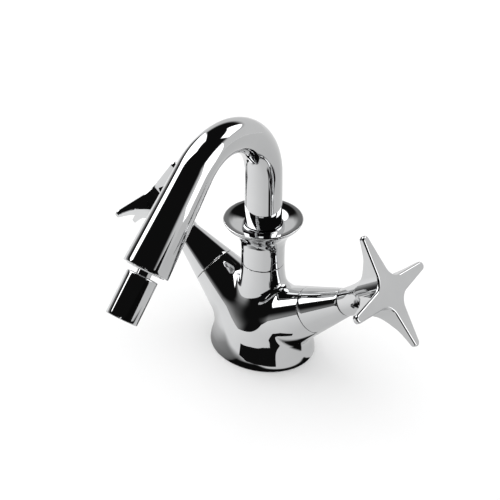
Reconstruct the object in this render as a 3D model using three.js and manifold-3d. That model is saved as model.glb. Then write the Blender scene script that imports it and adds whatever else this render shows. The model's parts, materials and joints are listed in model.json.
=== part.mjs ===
// Two-handle single-hole mixer tap with a swivelling swan-neck spout, a dished
// collar, cross handles on two raised arms and a ball-jointed aerator.
// Millimetres, +Z up. The origin is the middle of the base's underside, on the
// deck. The spout points along -Y at rest; the two arms rise along +X and -X.
import * as THREE from 'three';
import { mergeVertices } from 'three/addons/utils/BufferGeometryUtils.js';
import Module from 'manifold-3d';

const wasm = await Module();
wasm.setup();

// ------------------------------------------------------- driving dimensions
const GAP = 0.3;                 // clearance between neighbouring pieces

const BASE_RX = 30.0;            // oval foot, half length along the arms
const BASE_RY = 26.0;            // oval foot, half width
// Half width of foot, trunk and column, against height.
const STEM = [[BASE_RY, 0], [25.95, 1.2], [25.5, 2.6], [24.6, 4.2], [23.8, 6], [23.4, 8.5],
  [23.3, 12], [22.9, 14], [21.9, 16], [19.9, 19], [17.8, 23], [15.9, 28], [14.3, 33],
  [12.9, 38], [12.05, 43], [11.5, 48]];
// Length over width, against height: oval below, round at the neck.
const ovalRatio = (z) => 1 + (BASE_RX / BASE_RY - 1) * Math.min(Math.max((32 - z) / 18, 0), 1);

const ARM_TILT = 35.138;         // arm axis above the deck, degrees
const ARM_Z0 = 12.4;             // height where both arm axes cross
const ARM_R1 = 12.29;            // arm radius at the casting's end
const ARM_SLOPE = 0.2215;        // radius lost per millimetre along the arm
const ARM_S1 = 40.86;            // casting / cover seam, along the arm
const ARM_S2 = 64.20;            // cover / handle seam, along the arm
const ARM_S3 = 94.50;            // front face of the handle, along the arm

const NECK_R = 11.3;             // column and collar neck radius
const NECK_Z = 52.6;             // seam between casting and collar
const RIM_R = 20.45;             // collar rim radius
const RIM_Z = 78.7;              // collar rim height

const BEND_R = 30.39;            // spout bend, centre-line radius
const BEND_Z = 104.49;           // height where the bend starts
const BEND_DEG = 135;            // spout bend
const LEG_L = 48.1;              // straight leg after the bend
const TUBE_R = [9.58, 9.37, 8.98, 8.33, 9.05, 11.15]; // rim, 0, 45, 90, 135 deg, outlet
const SHANK_R = 8.0;             // spout shank inside the casting
const SHANK_Z = 28.0;            // lower end of the shank
const WATER_R = 6.0;             // spout waterway

const HANDLE_TIP = 29.85;        // handle centre to the end of an arm
const TIP_R = 2.25;              // rounding of the arm ends
const TIP_C = HANDLE_TIP - TIP_R;
const ARM_TAPER = 0.122;         // widening of a handle arm towards the hub
const VALLEY_R = 7.6;            // fillet between handle arms

const HOUSING_R = 7.65;          // aerator housing radius
const HOUSING_L = 21.3;          // aerator housing length
const STEM_R = 3.5;              // ball joint stem radius
const BALL_R = 6.5;              // ball joint ball radius
const BALL_IN = 7.0;             // ball centre, inside the spout's end
const STEM_GAP = 2.8;            // bare stem between spout and housing

const INLET_X = 10.5;            // supply sockets, either side of the centre
const INLET_Y = -5.5;
const INLET_R = 4.6;             // M10 x 1 supply socket
const STUD_Y = 14.0;             // fixing stud socket, behind the centre
const STUD_R = 3.9;              // M8 fixing stud socket

const RAD = Math.PI / 180;

// ---------------------------------------------------------------- materials
const mat = (color, roughness, metalness) =>
  new THREE.MeshStandardMaterial({ color, roughness, metalness });
const chrome = () => mat(0xd9dadc, 0.06, 1.0);
const brass = () => mat(0xb8924a, 0.32, 1.0);
const steel = () => mat(0xb4b6b8, 0.25, 1.0);
const rubber = () => mat(0x1c1c1d, 0.75, 0.0);
const acetal = () => mat(0xe9e6dd, 0.45, 0.0);
const ceramic = () => mat(0xf1efe8, 0.22, 0.0);

// ------------------------------------------------------------------ helpers
// A closed three.js geometry becomes a solid.
function solid(geometry) {
  let g = geometry.clone();
  g.deleteAttribute('normal');
  g.deleteAttribute('uv');
  g = mergeVertices(g, 1e-4);
  const p = g.getAttribute('position').array;
  const idx = g.getIndex().array;
  const tri = [];
  for (let i = 0; i < idx.length; i += 3) {
    const [a, b, c] = [idx[i], idx[i + 1], idx[i + 2]];
    if (a !== b && b !== c && a !== c) tri.push(a, b, c);
  }
  const make = (t) => new wasm.Manifold(new wasm.Mesh({
    numProp: 3,
    vertProperties: new Float32Array(p),
    triVerts: new Uint32Array(t),
  }));
  let m = make(tri);
  if (m.volume() < 0) {
    for (let i = 0; i < tri.length; i += 3) {
      const s = tri[i + 1]; tri[i + 1] = tri[i + 2]; tri[i + 2] = s;
    }
    m = make(tri);
  }
  return m;
}

// A solid becomes a named mesh.
function mesh(name, m, material) {
  const out = m.getMesh();
  const n = out.numProp;
  const pos = new Float32Array((out.vertProperties.length / n) * 3);
  for (let i = 0, k = 0; i < out.vertProperties.length; i += n) {
    pos[k++] = out.vertProperties[i];
    pos[k++] = out.vertProperties[i + 1];
    pos[k++] = out.vertProperties[i + 2];
  }
  const g = new THREE.BufferGeometry();
  g.setAttribute('position', new THREE.BufferAttribute(pos, 3));
  g.setIndex(Array.from(out.triVerts));
  g.computeVertexNormals();
  const o = new THREE.Mesh(g, material);
  o.name = name;
  return o;
}

// Turned shape about Z from [radius, z] points. An open profile starts and
// ends on the axis; a ring profile closes on itself.
function turned(points, segments = 24) {
  const v = points.map(([r, z]) => new THREE.Vector2(Math.max(r, 0), z));
  if (points[0][0] > 0) v.push(v[0].clone());
  const g = new THREE.LatheGeometry(v, segments);
  g.rotateX(Math.PI / 2);
  return g;
}
const turn = (points, segments) => solid(turned(points, segments));

// Cylinder between two points.
function rod(a, b, r, segments = 16) {
  const A = new THREE.Vector3(...a);
  const B = new THREE.Vector3(...b);
  const d = B.clone().sub(A);
  const g = new THREE.CylinderGeometry(r, r, d.length(), segments, 1);
  g.translate(0, d.length() / 2, 0);
  g.applyQuaternion(new THREE.Quaternion().setFromUnitVectors(
    new THREE.Vector3(0, 1, 0), d.normalize()));
  g.translate(A.x, A.y, A.z);
  return solid(g);
}

// Block from lowest to highest corner.
function block(lo, hi) {
  const g = new THREE.BoxGeometry(hi[0] - lo[0], hi[1] - lo[1], hi[2] - lo[2]);
  g.translate((lo[0] + hi[0]) / 2, (lo[1] + hi[1]) / 2, (lo[2] + hi[2]) / 2);
  return solid(g);
}

// Ring of round wire about Z.
function wireRing(r, w, z, segments = 16, sides = 6) {
  const g = new THREE.TorusGeometry(r, w, sides, segments);
  g.translate(0, 0, z);
  return solid(g);
}

// Prism of a shape, from z0 to z1.
function prism(shape, z0, z1, curveSegments = 8) {
  const g = new THREE.ExtrudeGeometry(shape, {
    depth: z1 - z0, bevelEnabled: false, curveSegments,
  });
  g.translate(0, 0, z0);
  return solid(g);
}
function polygon(n, r, turnDeg = 0) {
  const s = new THREE.Shape();
  for (let i = 0; i < n; i++) {
    const a = (i / n) * 2 * Math.PI + turnDeg * RAD;
    if (i === 0) s.moveTo(r * Math.cos(a), r * Math.sin(a));
    else s.lineTo(r * Math.cos(a), r * Math.sin(a));
  }
  s.closePath();
  return s;
}
function diskShape(r) {
  const s = new THREE.Shape();
  s.absarc(0, 0, r, 0, Math.PI * 2, false);
  return s;
}
// Part of a ring seen from above, between two angles in degrees.
function sector(r0, r1, a0, a1) {
  const s = new THREE.Shape();
  s.absarc(0, 0, r1, a0 * RAD, a1 * RAD, false);
  s.absarc(0, 0, r0, a1 * RAD, a0 * RAD, true);
  s.closePath();
  return s;
}

// Placing one arm's own frame in the tap: local z runs up the arm axis,
// local x is level with the deck, local y points up and back to the column.
function armMatrix(side) {
  const t = ARM_TILT * RAD;
  const z = new THREE.Vector3(side * Math.cos(t), 0, Math.sin(t));
  const y = new THREE.Vector3(-side * Math.sin(t), 0, Math.cos(t));
  const x = new THREE.Vector3().crossVectors(y, z);
  const m = new THREE.Matrix4().makeBasis(x, y, z);
  m.setPosition(0, 0, ARM_Z0);
  return m;
}
const inArm = (m, side) => m.transform(armMatrix(side).toArray());
const armR = (s) => ARM_R1 - ARM_SLOPE * (s - ARM_S1);

// ------------------------------------------------------------- body casting
function bodyCasting() {
  // Oval foot, upright trunk and column in one turned shape. The oval of the
  // foot turns into the round of the column on the way up.
  const stem = turned([[0, 0], ...STEM.filter(([, z]) => z < NECK_Z).map(([r, z]) => [r, z]),
    [NECK_R, NECK_Z - 0.15], [0, NECK_Z - 0.15]], 40);
  const sp = stem.getAttribute('position');
  for (let i = 0; i < sp.count; i++) sp.setX(i, sp.getX(i) * ovalRatio(sp.getZ(i)));
  let m = solid(stem);
  // Two conical arms.
  for (const side of [1, -1]) {
    const arm = turn([[0, 0], [armR(0), 0], [armR(ARM_S1 - 0.15), ARM_S1 - 0.15],
      [0, ARM_S1 - 0.15]], 32);
    m = m.add(inArm(arm, side));
  }
  // The part of the arm roots below the deck face is cut off.
  m = m.subtract(block([-60, -60, -40], [60, 60, 0]));

  // Column bore: plain bore for the shank's seals, wider at the top for the bush.
  m = m.subtract(turn([[0, 25], [8.6, 25], [8.6, 43.7], [9.6, 43.7], [9.6, 60], [0, 60]], 20));
  for (const side of [1, -1]) {
    // Valve bore and its seat.
    m = m.subtract(inArm(turn([[0, 18], [8.6, 18], [8.6, 60], [0, 60]], 18), side));
    // Supply socket, riser to the valve seat and passage to the column bore.
    m = m.subtract(rod([side * INLET_X, INLET_Y, -5], [side * INLET_X, INLET_Y, 12], INLET_R, 16));
    m = m.subtract(rod([side * INLET_X, INLET_Y * 0.8, 9], [side * 15.4, 0, 23.8], 2.6, 8));
    m = m.subtract(rod([side * 4, 0, 32], [side * 19, 0, 32], 2.5, 8));
  }
  // Fixing stud socket behind the centre.
  m = m.subtract(rod([0, STUD_Y, -5], [0, STUD_Y, 14], STUD_R, 16));
  // Hole for the spout's locking screw, at the back of the column.
  m = m.subtract(rod([0, 4, 36.6], [0, 30, 36.6], 2.6, 12));
  // Groove for the deck seal, open at the underside.
  const groove = (rx, ry) => {
    const g = turned([[0, -4], [1, -4], [1, 1.6], [0, 1.6]], 32);
    g.scale(rx, ry, 1);
    return solid(g);
  };
  m = m.subtract(groove(28.2, 24.2).subtract(groove(24.2, 20.2)));
  return m;
}

// --------------------------------------------------------- spout, as bent tube
// Lathe profile along the centre line, bent from the vertical through the arc.
function bend(geometry) {
  const p = geometry.getAttribute('position');
  const arcL = BEND_R * BEND_DEG * RAD;
  for (let i = 0; i < p.count; i++) {
    const x = p.getX(i); const y = p.getY(i); const z = p.getZ(i);
    const d = z - BEND_Z;
    if (d <= 0) continue;
    const a = Math.min(d / BEND_R, BEND_DEG * RAD);
    const rest = Math.max(d - arcL, 0);
    const cy = -BEND_R + BEND_R * Math.cos(a) - Math.sin(a) * rest;
    const cz = BEND_Z + BEND_R * Math.sin(a) + Math.cos(a) * rest;
    p.setXYZ(i, x, cy + y * Math.cos(a), cz + y * Math.sin(a));
  }
  return geometry;
}
const ARC_L = BEND_R * BEND_DEG * RAD;
const END_T = BEND_Z + ARC_L + LEG_L;       // centre-line station of the outlet

function tubeR(t) {
  const knots = [[RIM_Z, TUBE_R[0]], [BEND_Z, TUBE_R[1]], [BEND_Z + ARC_L / 3, TUBE_R[2]],
    [BEND_Z + (2 * ARC_L) / 3, TUBE_R[3]], [BEND_Z + ARC_L, TUBE_R[4]], [END_T, TUBE_R[5]]];
  if (t <= knots[0][0]) return knots[0][1];
  for (let i = 1; i < knots.length; i++) {
    if (t <= knots[i][0]) {
      const f = (t - knots[i - 1][0]) / (knots[i][0] - knots[i - 1][0]);
      return knots[i - 1][1] + f * (knots[i][1] - knots[i - 1][1]);
    }
  }
  return TUBE_R[5];
}

function spoutTube() {
  const SEGS = 20;
  const profile = [];
  // Shank with two seal grooves, then the shoulder inside the collar.
  const ring = (z) => [[SHANK_R, z - 1.2], [6.3 + 0.2, z - 1.2], [6.5, z + 1.2], [SHANK_R, z + 1.2]];
  profile.push([WATER_R, SHANK_Z], [SHANK_R - 0.8, SHANK_Z], [SHANK_R, SHANK_Z + 0.8]);
  profile.push(...ring(31.4), ...ring(41.6));
  profile.push([SHANK_R, 53.2], [TUBE_R[0], 54.4], [TUBE_R[0], RIM_Z], [TUBE_R[1], BEND_Z]);
  const steps = 12;
  for (let i = 1; i <= steps; i++) {
    const t = BEND_Z + (ARC_L * i) / steps;
    profile.push([tubeR(t), t]);
  }
  profile.push([tubeR(END_T - 24), END_T - 24], [TUBE_R[5], END_T - 0.4], [TUBE_R[5] - 0.4, END_T]);
  // Socket for the ball joint, then the waterway back to the shank.
  profile.push([9.6, END_T], [9.6, END_T - 15.5], [WATER_R, END_T - 15.5]);
  for (let i = 6; i >= 0; i--) {
    const t = BEND_Z + (ARC_L * i) / 6;
    profile.push([WATER_R, t]);
  }
  let m = solid(bend(turned(profile, SEGS)));
  // Slot in the shank that the locking screw runs in: it holds the spout down
  // and lets it swing sixty degrees each way.
  m = m.subtract(prism(sector(6.9, 9.2, 8, 172), 36.6 - 2.4, 36.6 + 2.4, 12));
  return m;
}

// ------------------------------------------------------------------- collar
const collarProfile = [
  [NECK_R - 1.3, NECK_Z + 0.15], [NECK_R, NECK_Z + 0.15], [NECK_R, 60.5],
  [11.5, 63.2], [11.95, 66.0], [13.05, 68.7], [14.45, 71.1], [16.2, 73.3], [17.95, 75.1],
  [19.8, 77.0], [RIM_R, RIM_Z - 0.5], [20.2, RIM_Z], [18.0, 78.67], [16.0, 78.43],
  [14.0, 77.94], [12.0, 77.25], [9.95, 76.36],
];

// ------------------------------------------------------------------- handle
function crossShape() {
  // One edge of an arm runs from the tip rounding to the valley fillet.
  const w = (u) => TIP_R * 0.99 + ARM_TAPER * (TIP_C - u);
  const corner = (TIP_R * 0.99 + ARM_TAPER * TIP_C) / (1 + ARM_TAPER);
  const half = (Math.acos(-2 * ARM_TAPER / (1 + ARM_TAPER ** 2)) / 2);
  const tl = VALLEY_R / Math.tan(half);
  const uT = corner + tl / Math.hypot(1, ARM_TAPER);
  const pts = [];
  for (let k = 0; k < 4; k++) {
    const c = Math.cos((k * Math.PI) / 2); const s = Math.sin((k * Math.PI) / 2);
    const put = (u, v) => pts.push(new THREE.Vector2(c * u - s * v, s * u + c * v));
    for (let i = -2; i <= 2; i++) {
      const a = (i / 2) * 83 * RAD;
      put(TIP_C + TIP_R * Math.cos(a), TIP_R * Math.sin(a));
    }
    // Valley fillet on the left side of this arm.
    const cc = corner + (VALLEY_R / Math.sin(half)) * Math.SQRT1_2;
    const a0 = Math.atan2(w(uT) - cc, uT - cc);
    const a1 = Math.atan2(uT - cc, w(uT) - cc);
    let da = a1 - a0;
    while (da > 0) da -= 2 * Math.PI;
    if (da < -Math.PI) da += 2 * Math.PI;
    for (let i = 0; i <= 4; i++) {
      const a = a0 + (da * i) / 4;
      put(cc + VALLEY_R * Math.cos(a), cc + VALLEY_R * Math.sin(a));
    }
  }
  return new THREE.Shape(pts);
}

// Hub radius against depth behind the front face.
const trumpet = [[31.5, 2.4], [28, 2.9], [25, 3.5], [20, 4.9], [17, 6.6], [14, 8.6],
  [12, 10.4], [10.5, 12.6], [9.2, 15.8], [8.2, 19.6], [7.5, 24], [7.15, 30.1]];

function handle() {
  const g = new THREE.ExtrudeGeometry(crossShape(), {
    depth: 33, bevelEnabled: true, bevelThickness: 0.9, bevelSize: 0.8,
    bevelOffset: -0.8, bevelSegments: 1, curveSegments: 4,
  });
  g.translate(0, 0, ARM_S3 - 33 - 0.9);
  let m = solid(g);
  const prof = [[0, ARM_S3 + 2], [33, ARM_S3 + 2]];
  for (const [r, h] of trumpet) prof.push([r, ARM_S3 - h]);
  prof.push([0, ARM_S3 - 30.1]);
  m = m.intersect(turn(prof, 28));
  // Blind bore for the spindle and the grub screw's hole.
  m = m.subtract(turn([[0, 60], [3.3, 60], [3.3, 85.5], [0, 86.5]], 14));
  m = m.subtract(rod([0, -2, 69.5], [0, -12, 69.5], 1.9, 12));
  return m;
}

// ------------------------------------------------------------ headwork parts
function headworkBody() {
  let m = turn([[7.1, 20.5], [8.3, 20.5], [8.3, 36.9], [6.5, 37.4], [6.5, 39.7], [8.3, 40.4],
    [8.3, 42], [7.6, 44], [5.6, 45.5], [5.6, 60], [4.3, 60], [4.3, 30.4], [3.3, 30.4],
    [3.3, 28.7], [7.1, 28.7]], 16);
  // Hexagon flange on the casting's end face.
  const hex = prism(polygon(6, 9.6), 41.05, 44.4)
    .subtract(turn([[0, 38], [7.5, 38], [7.5, 46], [0, 46]], 16));
  m = m.add(hex);
  // Two windows that let the water out of the skirt.
  m = m.subtract(block([-12, -2.6, 23.7], [12, 2.6, 26.2]));
  return m;
}
function spindle() {
  let m = turn([[0, 26.4], [6.6, 26.4], [6.6, 28.4], [3.0, 28.4], [3.0, 30.9], [4.0, 31.6],
    [4.0, 47.1], [2.6, 47.1], [2.6, 48.9], [4.0, 48.9], [4.0, 60.25], [3.0, 60.25],
    [3.0, 61.45], [4.0, 61.45], [4.0, 62.6], [3.0, 63.2], [0, 63.2]], 14);
  // Splined end in the handle.
  const spline = new THREE.Shape();
  const n = 12;
  for (let i = 0; i < n * 2; i++) {
    const a = (i / (2 * n)) * 2 * Math.PI;
    const r = i % 2 ? 2.55 : 2.95;
    if (i === 0) spline.moveTo(r, 0);
    else spline.lineTo(r * Math.cos(a), r * Math.sin(a));
  }
  spline.closePath();
  m = m.add(prism(spline, 63.0, 84.0));
  return m;
}
function ceramicDisc(z0, turnDeg) {
  const s = polygon(20, 6.8);
  // Two ports on opposite sides: a quarter turn lines them up with the other disc's.
  for (const mid of [turnDeg, turnDeg + 180]) {
    const hole = new THREE.Path();
    const a0 = (mid - 40) * RAD; const a1 = (mid + 40) * RAD;
    hole.absarc(0, 0, 5.4, a0, a1, false);
    hole.absarc(0, 0, 1.9, a1, a0, true);
    hole.closePath();
    s.holes.push(hole);
  }
  return prism(s, z0, z0 + 2.5, 5);
}

// ---------------------------------------------------------- ball joint parts
// Local frame: z runs out of the spout's end, 0 at the end plane.
function jointNut() {
  const R = BALL_R + GAP;
  const seat = [];
  for (let i = 0; i <= 4; i++) {
    const d = (3.4 * i) / 4;                 // distance outward from the ball's centre
    seat.push([Math.sqrt(R * R - d * d), -BALL_IN + d]);
  }
  const prof = [[9.3, -BALL_IN], [9.3, 0.1], [8.9, 0.5], [6.9, 0.5], [6.2, -1.6]];
  const m = turn([[R, -BALL_IN], ...prof.slice(0), ...seat.slice(1).reverse()], 20);
  // Two key slots in the visible face.
  return m.subtract(block([-12, -0.7, -0.5], [12, 0.7, 2]));
}
function ballSeat() {
  const R = BALL_R + GAP;
  const pts = [];
  for (let i = 0; i <= 4; i++) {
    const a = (12 + (44 * i) / 4) * RAD;     // from the equator inward
    pts.push([R * Math.cos(a), -BALL_IN - R * Math.sin(a)]);
  }
  return turn([[9.3, pts[0][1]], ...pts, [pts[4][0], -15.1], [9.3, -15.1]], 16);
}
function ballStem() {
  const pts = [[1.8, -BALL_IN - Math.sqrt(BALL_R ** 2 - 1.8 ** 2)]];
  const a0 = Math.asin(1.8 / BALL_R); const a1 = Math.PI - Math.asin(STEM_R / BALL_R);
  for (let i = 1; i <= 9; i++) {
    const a = a0 + ((a1 - a0) * i) / 9;
    pts.push([BALL_R * Math.sin(a), -BALL_IN - BALL_R * Math.cos(a)]);
  }
  pts.push([STEM_R, 3.6], [2.9, 4.2], [2.9, 7.6], [1.8, 7.6]);
  return turn(pts, 16);
}
const H0 = STEM_GAP;              // housing's top, from the spout's end
const H1 = STEM_GAP + HOUSING_L;  // housing's mouth
function housing() {
  return turn([[3.8, H0], [HOUSING_R - 0.5, H0], [HOUSING_R, H0 + 0.5], [HOUSING_R, H1 - 0.4],
    [HOUSING_R - 0.4, H1], [6.5, H1], [6.3, H1 - 0.5], [6.3, H0 + 3.2], [3.2, H0 + 3.2],
    [3.2, H0 + 2.0], [3.8, H0 + 1.4]], 24);
}
function washer() {
  return turn([[3.9, H0 + 3.5], [6.0, H0 + 3.5], [6.0, H0 + 5.3], [3.9, H0 + 5.3]], 16);
}
function screen() {
  const s = polygon(16, 6.0);
  const holes = [[0, 0, 0.8]];
  for (let i = 0; i < 6; i++) holes.push([2.3 * Math.cos(i * 60 * RAD), 2.3 * Math.sin(i * 60 * RAD), 0.8]);
  for (let i = 0; i < 9; i++) {
    holes.push([4.5 * Math.cos(i * 40 * RAD), 4.5 * Math.sin(i * 40 * RAD), 0.8]);
  }
  for (const [x, y, r] of holes) {
    const h = new THREE.Path();
    for (let k = 0; k < 4; k++) {
      const a = (k * 90 + 45) * RAD;
      if (k === 0) h.moveTo(x + r * Math.cos(a), y + r * Math.sin(a));
      else h.lineTo(x + r * Math.cos(a), y + r * Math.sin(a));
    }
    h.closePath();
    s.holes.push(h);
  }
  return prism(s, H0 + 5.6, H0 + 6.4, 5);
}
function insert() {
  let m = turn([[0, H0 + 6.7], [5.9, H0 + 6.7], [5.9, H0 + 10], [5.4, H0 + 11], [5.9, H0 + 12],
    [5.9, H1 - 1.4], [5.0, H1 - 1.4], [5.0, H1 - 5.5], [0, H1 - 5.5]], 16);
  // Jet holes through the mixing plate.
  for (let i = 0; i < 6; i++) {
    const a = i * 60 * RAD;
    m = m.subtract(rod([3 * Math.cos(a), 3 * Math.sin(a), H0 + 5],
      [3 * Math.cos(a), 3 * Math.sin(a), H1 - 3], 0.8, 8));
  }
  return m;
}

// ------------------------------------------------------------------ assembly
const tap = new THREE.Group();

tap.add(mesh('body_casting', bodyCasting(), chrome()));

const sealRing = (rx, ry) => {
  const g = turned([[0, 0], [1, 0], [1, 1.3], [0, 1.3]], 32);
  g.scale(rx, ry, 1);
  return solid(g);
};
const sealCut = (rx, ry) => {
  const g = turned([[0, -1], [1, -1], [1, 3], [0, 3]], 32);
  g.scale(rx, ry, 1);
  return solid(g);
};
tap.add(mesh('base_gasket', sealRing(27.9, 23.9).subtract(sealCut(24.5, 20.5)), rubber()));

tap.add(mesh('spout_collar', turn(collarProfile, 32), chrome()));
tap.add(mesh('spout_bush', turn([[8.3, 44.0], [9.3, 44.0], [9.3, 51.9], [8.3, 51.9]], 20), acetal()));
tap.add(mesh('spout_locking_screw', rod([0, 7.4, 36.6], [0, 12.9, 36.6], 2.1, 16)
  .subtract((() => {
    const g = new THREE.ExtrudeGeometry(polygon(6, 1.3), { depth: 3, bevelEnabled: false });
    g.rotateX(-Math.PI / 2);
    g.translate(0, 10.9, 36.6);
    return solid(g);
  })()), steel()));

tap.add(mesh('spout_tube', spoutTube(), chrome()));
tap.add(mesh('spout_oring_lower', wireRing(7.55, 0.75, 31.4), rubber()));
tap.add(mesh('spout_oring_upper', wireRing(7.55, 0.75, 41.6), rubber()));

for (const [word, side] of [['right', 1], ['left', -1]]) {
  const arm = new THREE.Group();
  arm.applyMatrix4(armMatrix(side));
  const c0 = ARM_S1 + 0.15; const c1 = ARM_S2 - 0.15;
  arm.add(mesh(`${word}_bonnet_cover`, turn([[armR(c0) - 1.5, c0], [armR(c0), c0], [armR(c1), c1],
    [5.95, c1], [5.95, c1 - 1.2], [armR(c1 - 2.2) - 1.4, c1 - 2.2]], 32), chrome()));
  arm.add(mesh(`${word}_headwork_body`, headworkBody(), brass()));
  arm.add(mesh(`${word}_headwork_oring`, wireRing(7.55, 0.75, 38.55), rubber()));
  arm.add(mesh(`${word}_seat_seal`, turn([[4.6, 18.3], [8.2, 18.3], [8.2, 20.2], [4.6, 20.2]], 20), rubber()));
  arm.add(mesh(`${word}_ceramic_disc_fixed`, ceramicDisc(20.8, 90), ceramic()));
  arm.add(mesh(`${word}_ceramic_disc_moving`, ceramicDisc(23.6, 0), ceramic()));
  arm.add(mesh(`${word}_spindle`, spindle(), brass()));
  arm.add(mesh(`${word}_spindle_oring`, wireRing(3.42, 0.52, 48.0, 14, 5), rubber()));
  arm.add(mesh(`${word}_spindle_clip`, turn([[3.3, 60.45], [5.3, 60.45], [5.3, 61.15], [3.3, 61.15]], 18)
    .subtract(block([-1.2, 0, 59], [1.2, 8, 63])), steel()));
  arm.add(mesh(`${word}_handle`, handle(), chrome()));
  arm.add(mesh(`${word}_handle_grub_screw`, rod([0, -3.7, 69.5], [0, -7.0, 69.5], 1.55, 12)
    .subtract((() => {
      const g = new THREE.ExtrudeGeometry(polygon(6, 0.9), { depth: 2, bevelEnabled: false });
      g.rotateX(Math.PI / 2);
      g.translate(0, -5.6, 69.5);
      return solid(g);
    })()), steel()));
  tap.add(arm);
}

// Ball-jointed aerator, in the frame of the spout's end.
const outlet = new THREE.Group();
{
  const a = BEND_DEG * RAD;
  const z = new THREE.Vector3(0, -Math.sin(a), Math.cos(a));
  const x = new THREE.Vector3(1, 0, 0);
  const y = new THREE.Vector3().crossVectors(z, x);
  const m = new THREE.Matrix4().makeBasis(x, y, z);
  m.setPosition(0,
    -BEND_R + BEND_R * Math.cos(a) - Math.sin(a) * LEG_L,
    BEND_Z + BEND_R * Math.sin(a) + Math.cos(a) * LEG_L);
  outlet.applyMatrix4(m);
}
outlet.add(mesh('ball_seat', ballSeat(), acetal()));
outlet.add(mesh('joint_nut', jointNut(), chrome()));
outlet.add(mesh('ball_stem', ballStem(), chrome()));
outlet.add(mesh('aerator_housing', housing(), chrome()));
outlet.add(mesh('aerator_washer', washer(), rubber()));
outlet.add(mesh('aerator_screen', screen(), steel()));
outlet.add(mesh('aerator_insert', insert(), acetal()));
tap.add(outlet);

export default tap;
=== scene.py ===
# Looks for the two-handle mixer tap: fine meshes for every visible piece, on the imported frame.
import json
import math

import bmesh
import bpy
import numpy as np
from mathutils import Matrix, Vector


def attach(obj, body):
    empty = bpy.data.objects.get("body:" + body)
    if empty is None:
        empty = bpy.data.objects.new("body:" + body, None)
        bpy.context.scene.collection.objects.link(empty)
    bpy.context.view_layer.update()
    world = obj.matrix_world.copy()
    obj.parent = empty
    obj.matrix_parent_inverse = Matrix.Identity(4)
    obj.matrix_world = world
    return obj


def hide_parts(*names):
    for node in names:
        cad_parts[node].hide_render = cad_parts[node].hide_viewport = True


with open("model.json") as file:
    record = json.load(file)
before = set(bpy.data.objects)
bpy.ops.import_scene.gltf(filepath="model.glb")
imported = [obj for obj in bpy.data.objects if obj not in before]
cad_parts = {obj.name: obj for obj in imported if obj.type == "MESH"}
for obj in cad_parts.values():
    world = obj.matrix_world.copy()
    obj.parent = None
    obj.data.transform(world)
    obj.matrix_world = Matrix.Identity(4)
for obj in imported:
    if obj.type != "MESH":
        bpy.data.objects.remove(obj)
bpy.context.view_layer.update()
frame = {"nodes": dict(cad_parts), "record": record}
MM = 0.001
RAD = math.pi / 180.0

# ------------------------------------------------------------------ dimensions, mm, as in the CAD
BASE_RX, BASE_RY = 30.0, 26.0
TILT, ARM_Z0 = 35.138 * RAD, 12.4
ARM_R1, ARM_SLOPE = 12.29, 0.2215
S1, S2, S3 = 40.86, 64.20, 94.50
NECK_R, NECK_Z = 11.3, 52.6
RIM_R, RIM_Z = 20.45, 78.7
BEND_R, BEND_Z, BEND = 30.39, 104.49, 135 * RAD
LEG_L = 48.1
ARC_L = BEND_R * BEND
END_T = BEND_Z + ARC_L + LEG_L
WATER_R = 6.0


def arm_r(s):
    return ARM_R1 - ARM_SLOPE * (s - S1)


def arm_matrix(side):
    """Columns: level, up-and-back, along the arm."""
    z = np.array([side * math.cos(TILT), 0, math.sin(TILT)])
    y = np.array([-side * math.sin(TILT), 0, math.cos(TILT)])
    x = np.cross(y, z)
    return np.stack([x, y, z], 1), np.array([0, 0, ARM_Z0])


def outlet_matrix():
    z = np.array([0, -math.sin(BEND), math.cos(BEND)])
    x = np.array([1.0, 0, 0])
    y = np.cross(z, x)
    o = np.array([0, -BEND_R + BEND_R * math.cos(BEND) - math.sin(BEND) * LEG_L,
                  BEND_Z + BEND_R * math.sin(BEND) + math.cos(BEND) * LEG_L])
    return np.stack([x, y, z], 1), o


IDENT = (np.eye(3), np.zeros(3))


# ------------------------------------------------------------------ mesh helpers
def make(name, verts, faces, normals=None, loop_normals=None, smooth_deg=None, body="root", mats=(), replaces=(),
         place=IDENT):
    """A mesh object from millimetre points. normals: one per vertex; loop_normals: one per face corner."""
    m, o = place
    v = (np.asarray(verts, float) @ m.T + o) * MM
    me = bpy.data.meshes.new(name)
    me.from_pydata(v.tolist(), [], [list(map(int, f)) for f in faces])
    me.validate(clean_customdata=False)
    me.polygons.foreach_set("use_smooth", [True] * len(me.polygons))
    if normals is not None:
        n = np.asarray(normals, float) @ m.T
        me.normals_split_custom_set_from_vertices(n.tolist())
    elif loop_normals is not None:
        n = np.asarray(loop_normals, float) @ m.T
        me.normals_split_custom_set(n.tolist())
    elif smooth_deg is not None:
        me.set_sharp_from_angle(angle=smooth_deg * RAD)
    me.update()
    ob = bpy.data.objects.new(name, me)
    bpy.context.scene.collection.objects.link(ob)
    for mt in mats:
        me.materials.append(mt)
    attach(ob, body)
    if replaces:
        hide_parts(*replaces)
    return ob


def pchip(xs, ys):
    """Smooth curve through points that never overshoots them."""
    xs, ys = np.array(xs, float), np.array(ys, float)
    h = np.diff(xs)
    d = np.diff(ys) / h
    m = np.zeros(len(xs))
    for i in range(1, len(xs) - 1):
        if d[i - 1] * d[i] > 0:
            w1, w2 = 2 * h[i] + h[i - 1], h[i] + 2 * h[i - 1]
            m[i] = (w1 + w2) / (w1 / d[i - 1] + w2 / d[i])
    m[0], m[-1] = d[0], d[-1]

    def f(x):
        x = np.clip(x, xs[0], xs[-1])
        i = np.clip(np.searchsorted(xs, x) - 1, 0, len(h) - 1)
        t = (x - xs[i]) / h[i]
        return ((1 + 2 * t) * (1 - t) ** 2 * ys[i] + t * (1 - t) ** 2 * h[i] * m[i]
                + t * t * (3 - 2 * t) * ys[i + 1] + t * t * (t - 1) * h[i] * m[i + 1])
    return f


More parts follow.
